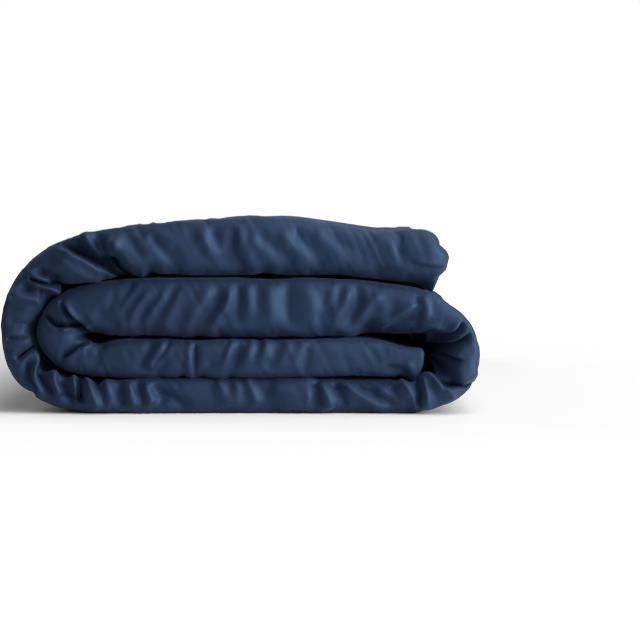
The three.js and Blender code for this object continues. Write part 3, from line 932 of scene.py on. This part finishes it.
# %% Lips and ragged ends
# height, how far the end reaches past a straight one
LOOSE_END_EDGE = [
    (127, 2), (143, 0), (150, 4), (157, 3), (164, 3), (170, 0), (176, -6), (185, -5), (192, -3),
]
INNER_END_EDGE = [(28, -5), (40, -1), (50, 1), (62, 1), (75, -1)]
END_BLEND = 24  # the raggedness dies out over this distance from the end
strip_plain = in_space(strip_y, strip_w)
strip_plain[..., 0] += across_x * front
strip_plain[..., 2] += across_z * front
for distance, edge in ((fine_places, LOOSE_END_EDGE), (band_length - fine_places, INNER_END_EDGE)):
    near_end = smooth(1 - distance / END_BLEND)[:, None]
    heights, reaches = zip(*edge)
    strip_plain[..., 0] += near_end * np.interp(strip_plain[..., 2], heights, reaches)
print(f"lips lean over by up to {np.hypot(across_x, across_z).max():.1f} mm")

# %% [markdown]
# So far the creases are drawn, not pressed. A cloth simulation of the strip lets them settle against
# each other. The parts between two layers are held, and so are the ends, the slits and the lips, which
# the simulation would open up again. It only needs every second row and section.

# %% What the simulation holds
SIM_SKIP = 2  # every second row and section
HELD_FROM, HELD_BLEND = 55, 35  # degrees round the fold
SLIT_FREE, SLIT_BLEND = 2, 4  # deeper slits than this are held
LIP_BLEND = 3  # lips that lean over this far are held
few = (slice(None, None, SIM_SKIP), slice(None, None, SIM_SKIP))
held = smooth((np.abs(np.degrees(row_angle)) - HELD_FROM) / HELD_BLEND)
held = np.where(row_back > 0, 1, held)
held = np.maximum(held[None, :], 1 - smooth(end_share)[:, None])
held = np.maximum(held, smooth((-slit - SLIT_FREE) / SLIT_BLEND))
held = np.maximum(held, smooth(np.hypot(across_x, across_z) / LIP_BLEND))
print(f"{held.mean():.0%} of the strip is held")

# %% [markdown]
# In the simulation the cloth is a little longer than the space it has, and air pressure stands for the
# filling. The Cloth modifier works on a copy of the strip, in metres. Only the movement of its points is
# kept, and the copy is deleted, so that nothing is left to run later.

# %% A cloth simulation of the strip
MM = 0.001  # in metres
SIM_FRAMES = 24  # one second at Blender's usual rate
SLACK = 0.008  # the share by which the cloth is too long
CLOTH_SETTINGS = {
    "quality": 5, "mass": 0.3, "air_damping": 3,
    "tension_stiffness": 12, "compression_stiffness": 12, "shear_stiffness": 4, "bending_stiffness": 2,
    "tension_damping": 8, "compression_damping": 8, "shear_damping": 8, "bending_damping": 0.6,
    "shrink_min": -SLACK, "shrink_max": -SLACK, "use_pressure": True, "uniform_pressure_force": 0.4,
    "vertex_group_mass": "held", "pin_stiffness": 1,
}


def strip_copy(points):
    """A copy of the strip as an object, with its held points in a vertex group."""
    sections, across = points.shape[:2]
    number = np.arange(sections * across).reshape(sections, across)
    corners = [number[:-1, :-1], number[1:, :-1], number[1:, 1:], number[:-1, 1:]]
    sheet = bpy.data.meshes.new("pressed")
    sheet.from_pydata(points.reshape(-1, 3).tolist(), [], np.stack(corners, -1).reshape(-1, 4).tolist())
    cloth = bpy.data.objects.new("pressed", sheet)
    bpy.context.collection.objects.link(cloth)
    group = cloth.vertex_groups.new(name="held")
    for vertex, weight in enumerate(held[few].ravel()):
        group.add([vertex], float(weight), "REPLACE")
    return cloth


def press_cloth(points):
    """How far the simulation moves the points."""
    cloth = strip_copy(points)
    press = cloth.modifiers.new("press", "CLOTH")
    for name, value in CLOTH_SETTINGS.items():
        setattr(press.settings, name, value)
    press.settings.effector_weights.gravity = 0
    press.point_cache.frame_start = 1
    press.point_cache.frame_end = SIM_FRAMES
    for frame_number in range(1, SIM_FRAMES + 1):
        bpy.context.scene.frame_set(frame_number)
    pressed = cloth.evaluated_get(bpy.context.evaluated_depsgraph_get()).data
    where = np.zeros(points.size, np.float32)
    pressed.vertices.foreach_get("co", where)
    bpy.context.scene.frame_set(1)
    sheet = cloth.data
    bpy.data.objects.remove(cloth)
    bpy.data.meshes.remove(sheet)
    return where.reshape(points.shape) - points


print(f"the simulation has {SIM_FRAMES} frames and {held[few].size} points")

# %% [markdown]
# The movement is filled in for the points that were left out, half way between their neighbours, and
# limited, so that one wild point can't pull the cloth through its neighbour.

# %% Press the cloth
MOST_MOVEMENT = 6  # of a point
TINY = 1e-6  # keeps a point that doesn't move from dividing by zero


def to_all_points(movement):
    """Fills in the points that the simulation left out."""
    for _ in range(2):
        wide = np.empty((SIM_SKIP * len(movement) - 1, *movement.shape[1:]))
        wide[0::2] = movement
        wide[1::2] = (movement[:-1] + movement[1:]) / 2
        movement = wide.swapaxes(0, 1)
    return movement


movement = np.zeros(strip_plain.shape)
movement = to_all_points(press_cloth(strip_plain[few] * MM) / MM)
size = np.linalg.norm(movement, axis=-1, keepdims=True)
movement = movement * np.minimum(1, MOST_MOVEMENT / np.maximum(size, TINY))
strip_points = settle(strip_plain + movement)
print(f"the cloth moves by {size.mean():.2f} mm on average, at most {size.max():.1f} mm")

# %% [markdown]
# Between the two leaves lies the inside of the folded duvet. It hardly shows, so a few rows are enough:
# forward along the outer leaf, round the inside of the fold, and back along the inner leaf.

# %% The inside between the leaves
INSIDE_ROWS = 8  # along each leaf
INSIDE_BACK = 12  # how far the inside of the fold lies behind the start of its arc
inside_pick = np.linspace(LEAF_ROWS - 1, 0, INSIDE_ROWS).astype(int)
inside_fold = (fold_start - (fold_radius - end_thickness / 2))[coarse, None] + INSIDE_BACK
inside_y = [outer_y[:, inside_pick], inside_fold, inner_y[:, inside_pick[::-1]]]
inside_w = [outer_inside_w[:, inside_pick], fold_middle[coarse, None], inner_inside_w[:, inside_pick[::-1]]]
inside_points = settle(in_space(np.concatenate(inside_y, 1), np.concatenate(inside_w, 1), coarse))
print(f"{inside_points.shape[1]} rows on the inside")

# %% [markdown]
# The rows are joined into one closed mesh: the fine strip, the two leaves, the inside, and a seam that
# closes each sewn end. Bridging edge loops in Edit Mode does such a job by hand. Here the numbers of the
# points are known, so the faces are written down directly. First each block of points gets its numbers.

# %% Number the points
blocks = {"strip": strip_points, "outer": outer_points, "inner": inner_points, "inside": inside_points}
first_index = {}
count = 0
for name, points in blocks.items():
    first_index[name] = count
    count += points.shape[0] * points.shape[1]
vertices = np.concatenate([points.reshape(-1, 3) for points in blocks.values()])
faces = []


def index(name, station, row):
    return first_index[name] + station * blocks[name].shape[1] + row


def grid_faces(name):
    """Four-sided faces between the neighbouring points of a block."""
    stations, row_count = blocks[name].shape[:2]
    for k in range(stations - 1):
        for j in range(row_count - 1):
            near = (index(name, k, j), index(name, k, j + 1))
            faces.append((*near, index(name, k + 1, j + 1), index(name, k + 1, j)))


for name in blocks:
    grid_faces(name)
print(f"{len(vertices)} points and {len(faces)} faces in {len(blocks)} blocks")

# %% [markdown]
# Seven fine sections of the strip meet one coarse section of a leaf. A fan of triangles to each side of
# one four-sided face takes up the difference. At the back, each leaf's outside meets its inside at the
# seam.

# %% Join the strip, the leaves and the inside


def join_strip(strip_row, leaf):
    """Joins the fine strip's edge to the first row of a leaf."""
    half = COARSE // 2
    for k in range(coarse_count):
        near, far = index(leaf, k, 0), index(leaf, k + 1, 0)
        fine = [index("strip", k * COARSE + n, strip_row) for n in range(COARSE + 1)]
        for n in range(half):
            faces.append((near, fine[n], fine[n + 1]))
        faces.append((near, fine[half], fine[half + 1], far))
        for n in range(half + 1, COARSE):
            faces.append((far, fine[n], fine[n + 1]))


def join_back(leaf, inside_row):
    """Joins the last row of a leaf to the inside, along the seamed edge."""
    last = LEAF_ROWS - 1
    for k in range(coarse_count):
        outside = (index(leaf, k, last), index(leaf, k + 1, last))
        faces.append((*outside, index("inside", k + 1, inside_row), index("inside", k, inside_row)))


join_strip(0, "outer")
join_strip(len(row_angle) - 1, "inner")
join_back("outer", 0)
join_back("inner", inside_points.shape[1] - 1)
print(f"{len(faces)} faces with the joins")

# %% [markdown]
# At a sewn end the outside has many points and the inside few. Walking along both at once, always across
# the shorter way, gives a narrow seam of well-shaped triangles.

# %% Close the sewn ends


def close_end(strip_station, coarse_station):
    """The seam between the outside and the inside of a sewn end."""
    outside = [index("outer", coarse_station, j) for j in reversed(range(LEAF_ROWS))]
    outside += [index("strip", strip_station, j) for j in range(len(row_angle))]
    outside += [index("inner", coarse_station, j) for j in range(LEAF_ROWS)]
    inside = [index("inside", coarse_station, j) for j in range(inside_points.shape[1])]
    a = b = 0
    while a + 1 < len(outside) or b + 1 < len(inside):
        step_out = math.inf
        if a + 1 < len(outside):
            step_out = np.linalg.norm(vertices[outside[a + 1]] - vertices[inside[b]])
        step_in = math.inf
        if b + 1 < len(inside):
            step_in = np.linalg.norm(vertices[outside[a]] - vertices[inside[b + 1]])
        if step_out < step_in:
            faces.append((outside[a], outside[a + 1], inside[b]))
            a += 1
        else:
            faces.append((outside[a], inside[b + 1], inside[b]))
            b += 1


close_end(0, 0)
close_end(len(fine_places) - 1, coarse_count)
print(f"{len(faces)} faces with the sewn ends")

# %% [markdown]
# The mesh is centred as the solid is. Each point also keeps its place on the flat cloth, because the
# weave follows the cloth and not the space around it. UV maps can store that too, but a named attribute
# on the points is simpler here and has no seams.

# %% The mesh
low, high = vertices.min(0), vertices.max(0)
vertices[:, :2] -= (low[:2] + high[:2]) / 2
mesh = bpy.data.meshes.new("duvet_cover")
mesh.from_pydata((vertices * MM).tolist(), [], faces)
leaf_blocks = [blocks[name] for name in ("outer", "inner", "inside")]
place_u = [np.repeat(fine_places, len(row_angle))]
place_u += [np.repeat(fine_places[coarse], block.shape[1]) for block in leaf_blocks]
place_v = [strip_v.ravel()] + [block[..., 1].ravel() for block in leaf_blocks]
place = np.stack([np.concatenate(place_u), np.concatenate(place_v), np.zeros(len(vertices))], 1) * MM
cloth_place = mesh.attributes.new("cloth_place", "FLOAT_VECTOR", "POINT")
cloth_place.data.foreach_set("vector", place.astype(np.float32).ravel())
print(f"the mesh is {', '.join(f'{length:.0f}' for length in high - low)} mm in x, y and z")

# %% [markdown]
# BMesh then turns all faces the same way out and counts the edges that don't join exactly two faces.
# There must be none in a closed mesh.

# %% One closed piece
work = bmesh.new()
work.from_mesh(mesh)
bmesh.ops.recalc_face_normals(work, faces=work.faces)
open_edges = sum(not edge.is_manifold for edge in work.edges)
work.to_mesh(mesh)
work.free()
mesh.shade_smooth()
duvet = bpy.data.objects.new("duvet_cover", mesh)
bpy.context.collection.objects.link(duvet)
mesh.calc_loop_triangles()
print(f"{len(mesh.loop_triangles)} triangles, {open_edges} open edges")

# %% [markdown]
# The cover is cotton sateen, a weave in which the threads of the warp float over several threads of the
# weft. That makes it smooth, with fine lines along the warp, a few thicker slubs in the weft, and
# slightly uneven dye. A wave texture would give lines that are too regular, so each thread system is
# noise, drawn out along its threads. The weave is a node group, which puts out a colour, a roughness and
# a height.

# %% The sateen weave
# Features for each metre along and across the cloth
WARP_FLOATS, WEFT_SLUBS, DYE = (60, 900, 1), (700, 25, 1), (14, 14, 1)
NOISE_DETAIL = 2
NOISE_RANGE = (0.3, 0.7)  # most of the noise lies in here
WEFT_SHARE, DYE_SHARE = 0.35, 0.4  # of the mixed pattern
TONE_RANGE = (0.86, 1.14)  # times the colour's brightness
ROUGHNESS_RANGE = (0.5, 0.62)


def sateen_weave():
    """A node group: thread, slub and dye variation over the flat cloth."""
    group = bpy.data.node_groups.new("sateen_weave", "ShaderNodeTree")
    face = group.interface
    face.new_socket("Place", in_out="INPUT", socket_type="NodeSocketVector")
    face.new_socket("Colour", in_out="INPUT", socket_type="NodeSocketColor")
    face.new_socket("Colour", in_out="OUTPUT", socket_type="NodeSocketColor")
    face.new_socket("Roughness", in_out="OUTPUT", socket_type="NodeSocketFloat")
    face.new_socket("Height", in_out="OUTPUT", socket_type="NodeSocketFloat")
    nodes, links = group.nodes, group.links
    given = nodes.new("NodeGroupInput")
    result = nodes.new("NodeGroupOutput")

    def stretched(name, scale):
        """Noise drawn out along the threads."""
        place = nodes.new("ShaderNodeVectorMath")
        place.operation = "MULTIPLY"
        place.inputs[1].default_value = scale
        links.new(given.outputs["Place"], place.inputs[0])
        pattern = nodes.new("ShaderNodeTexNoise")
        pattern.label = name
        pattern.inputs["Scale"].default_value = 1
        pattern.inputs["Detail"].default_value = NOISE_DETAIL
        links.new(place.outputs["Vector"], pattern.inputs["Vector"])
        return pattern.outputs["Fac"]

    def weighted(first, second, share):
        mix = nodes.new("ShaderNodeMix")
        mix.inputs["Factor"].default_value = share
        links.new(first, mix.inputs["A"])
        links.new(second, mix.inputs["B"])
        return mix.outputs["Result"]

    def ranged(value, low, high):
        fit = nodes.new("ShaderNodeMapRange")
        fit.inputs["From Min"].default_value, fit.inputs["From Max"].default_value = NOISE_RANGE
        fit.inputs["To Min"].default_value, fit.inputs["To Max"].default_value = low, high
        links.new(value, fit.inputs["Value"])
        return fit.outputs["Result"]

    warp = stretched("warp floats", WARP_FLOATS)
    weft = stretched("weft slubs", WEFT_SLUBS)
    dye = stretched("dye", DYE)
    thread = weighted(warp, weft, WEFT_SHARE)
    tone = weighted(thread, dye, DYE_SHARE)
    shade = nodes.new("ShaderNodeHueSaturation")
    links.new(given.outputs["Colour"], shade.inputs["Color"])
    links.new(ranged(tone, *TONE_RANGE), shade.inputs["Value"])
    links.new(shade.outputs["Color"], result.inputs["Colour"])
    links.new(ranged(thread, *ROUGHNESS_RANGE), result.inputs["Roughness"])
    links.new(thread, result.inputs["Height"])
    return group


weave_group = sateen_weave()
print(f"the weave group has {len(weave_group.nodes)} nodes")

# %% [markdown]
# In the shade sateen is matt, and where it turns to the light it has a broad, bluish gloss. A
# velvet-like sheen alone would light up every edge. So the shader is mostly a plain one with a tinted
# gloss, and has only a little sheen. Values that are the same all over the cloth are set on the shader
# itself.

# %% Navy sateen
NAVY = (0.0272, 0.047, 0.0918, 1)  # in linear colour
WEAVE_BUMP, WEAVE_HEIGHT = 0.25, 0.0004  # the height is in metres
SHADER_VALUES = {
    "IOR": 1.7, "Specular Tint": (0.24, 0.51, 1, 1),
    "Sheen Weight": 0.2, "Sheen Roughness": 0.4, "Sheen Tint": (0.42, 0.63, 1, 1),
}


def sateen_material():
    material = bpy.data.materials.new("navy_sateen")
    material.use_nodes = True
    nodes, links = material.node_tree.nodes, material.node_tree.links
    shader = nodes["Principled BSDF"]
    place = nodes.new("ShaderNodeAttribute")
    place.attribute_name = "cloth_place"
    weave = nodes.new("ShaderNodeGroup")
    weave.node_tree = weave_group
    weave.inputs["Colour"].default_value = NAVY
    bump_node = nodes.new("ShaderNodeBump")
    bump_node.inputs["Strength"].default_value = WEAVE_BUMP
    bump_node.inputs["Distance"].default_value = WEAVE_HEIGHT
    links.new(place.outputs["Vector"], weave.inputs["Place"])
    links.new(weave.outputs["Colour"], shader.inputs["Base Color"])
    links.new(weave.outputs["Roughness"], shader.inputs["Roughness"])
    links.new(weave.outputs["Height"], bump_node.inputs["Height"])
    links.new(bump_node.outputs["Normal"], shader.inputs["Normal"])
    for name, value in SHADER_VALUES.items():
        shader.inputs[name].default_value = value
    return material


mesh.materials.append(sateen_material())
print("material:", mesh.materials[0].name)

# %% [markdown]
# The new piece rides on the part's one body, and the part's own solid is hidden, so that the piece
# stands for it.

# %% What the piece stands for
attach(duvet, "root")
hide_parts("duvet")
print(duvet.name, "stands for the solid")

# %% [markdown]
# The stage is a plain pale floor. As a shadow catcher it shows only the roll's soft shadow, and the
# white of the world goes on behind it without an edge. A curved backdrop would do as well, but its
# shading differs from view to view.

# %% Floor
FLOOR_HALF = 6  # metres from the middle to an edge
PAPER = (0.9, 0.9, 0.9, 1)
PAPER_ROUGHNESS = 0.9
floor_corners = [(-1, -1), (1, -1), (1, 1), (-1, 1)]
floor_mesh = bpy.data.meshes.new("floor")
floor_mesh.from_pydata([(FLOOR_HALF * x, FLOOR_HALF * y, 0) for x, y in floor_corners], [], [(0, 1, 2, 3)])
floor = bpy.data.objects.new("floor", floor_mesh)
bpy.context.collection.objects.link(floor)
paper = bpy.data.materials.new("paper")
paper.use_nodes = True
paper.node_tree.nodes["Principled BSDF"].inputs["Base Color"].default_value = PAPER
paper.node_tree.nodes["Principled BSDF"].inputs["Roughness"].default_value = PAPER_ROUGHNESS
floor_mesh.materials.append(paper)
floor.is_shadow_catcher = True
print(f"a floor of {2 * FLOOR_HALF} by {2 * FLOOR_HALF} m")

# %% [markdown]
# The world is white where the camera sees it, but gives almost no light. A bright world would fill the
# gaps between the layers, and they are nearly black on the real roll. The Light Path node tells the two
# cases apart.

# %% World
WORLD_LIGHT, WORLD_SEEN = 0.01, 1.0  # as a light, and for the camera
world = bpy.data.worlds.new("studio")
world.use_nodes = True
world_nodes, world_links = world.node_tree.nodes, world.node_tree.links
sky = world_nodes["Background"]
sky.inputs["Color"].default_value = (1, 1, 1, 1)
light_path = world_nodes.new("ShaderNodeLightPath")
strength = world_nodes.new("ShaderNodeMapRange")
strength.inputs["To Min"].default_value = WORLD_LIGHT
strength.inputs["To Max"].default_value = WORLD_SEEN
world_links.new(light_path.outputs["Is Camera Ray"], strength.inputs["Value"])
world_links.new(strength.outputs["Result"], sky.inputs["Strength"])
bpy.context.scene.world = world
print(f"the world lights the scene with {WORLD_LIGHT:.0%} of its white")

# %% [markdown]
# The light is that of a studio: square softboxes, mostly from the right, so that the right side of each
# wrinkle is bright and its left side dark. A sun lamp would give hard shadows. Weak lamps on the left
# and at the back keep the other sides readable.

# %% Softboxes
LIT_MIDDLE = Vector((0, -0.3, 0.1))  # the lamps look at the middle of the front
# name, degrees to the right of straight in front, degrees up, distance, side of the square, power
SOFTBOXES = [
    ("key", 58, 24, 1.2, 0.8, 4.0), ("side", 70, 11, 3, 1.6, 46), ("high right", 90, 55, 1.2, 0.8, 3.8),
    ("top", 45, 76, 1.8, 1, 3.6), ("front", 4, 34, 1.2, 0.8, 1.6), ("left", -60, 30, 3, 1.6, 2.8),
    ("back", 165, 42, 3, 1.6, 5), ("back left", -125, 38, 3, 1.6, 7),
]


def softbox(name, turn, height, distance, side, power):
    turn, height = math.radians(turn), math.radians(height)
    way = Vector((math.sin(turn) * math.cos(height), -math.cos(turn) * math.cos(height), math.sin(height)))
    light = bpy.data.lights.new(name, "AREA")
    light.shape = "RECTANGLE"
    light.size = light.size_y = side
    light.energy = power
    lamp = bpy.data.objects.new(name, light)
    lamp.location = LIT_MIDDLE + distance * way
    lamp.rotation_euler = (-way).to_track_quat("-Z", "Y").to_euler()
    bpy.context.collection.objects.link(lamp)


for row in SOFTBOXES:
    softbox(*row)
print(f"{len(SOFTBOXES)} softboxes")

# %% [markdown]
# The camera stands straight in front, a little above the roll, and looks slightly down. Its lens makes
# the roll as large in a square picture as it is in the photograph. The Standard view transform keeps the
# navy as it is, where a filmic one would grey it.

# %% Camera
LENS = 107.1
CAMERA_X, CAMERA_HEIGHT, CAMERA_DISTANCE = 0.083, 0.23, 2.0
FRONT_PLANE, AIM_HEIGHT = -0.315, 0.0966
camera_data = bpy.data.cameras.new("camera")
camera_data.lens = LENS
camera = bpy.data.objects.new("camera", camera_data)
camera.location = (CAMERA_X, FRONT_PLANE - CAMERA_DISTANCE, CAMERA_HEIGHT)
aim = Vector((CAMERA_X, FRONT_PLANE, AIM_HEIGHT))
camera.rotation_euler = (aim - camera.location).to_track_quat("-Z", "Y").to_euler()
bpy.context.collection.objects.link(camera)
bpy.context.scene.camera = camera
bpy.context.scene.view_settings.view_transform = "Standard"
print(f"camera {CAMERA_DISTANCE} m in front of the roll, lens {LENS} mm")
